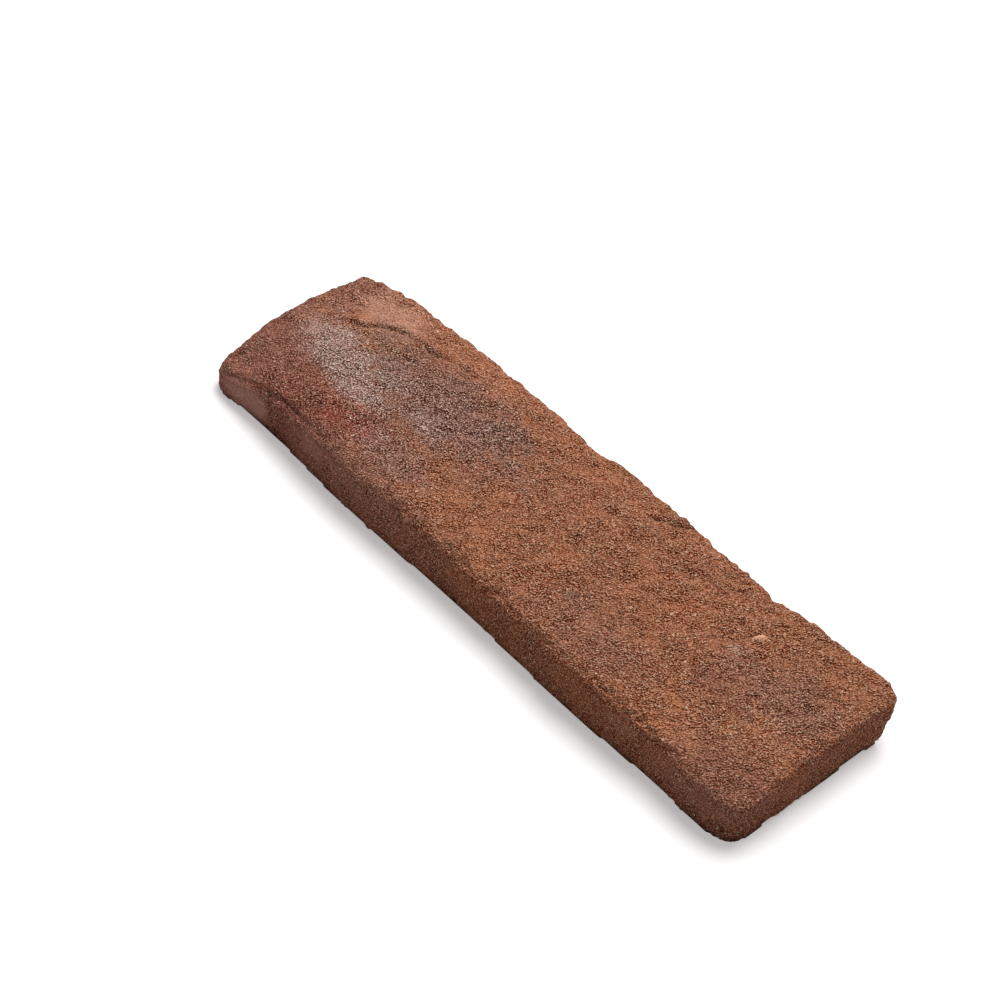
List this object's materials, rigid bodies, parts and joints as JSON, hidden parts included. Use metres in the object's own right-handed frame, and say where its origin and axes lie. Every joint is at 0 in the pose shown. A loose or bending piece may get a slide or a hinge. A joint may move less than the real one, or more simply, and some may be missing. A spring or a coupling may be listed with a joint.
{
  "type": "brick slip",
  "caption": "Thin facing slip sawn from a hand-moulded clay brick, with a sanded wavy face, worn arrises and a flat back for bonding to a wall",
  "frame": {"origin": "middle of the slip's length and width, on the plane of its sawn back", "axes": "+X along the slip from its worn low corner end to its square end, +Y across it, +Z out of the sanded face"},
  "size_m": [0.2153, 0.0645, 0.0172],
  "materials": {
    "fired_clay": "matte"
  },
  "bodies": {
    "root": {"brick_slip": "fired_clay"}
  },
  "joints": []
}
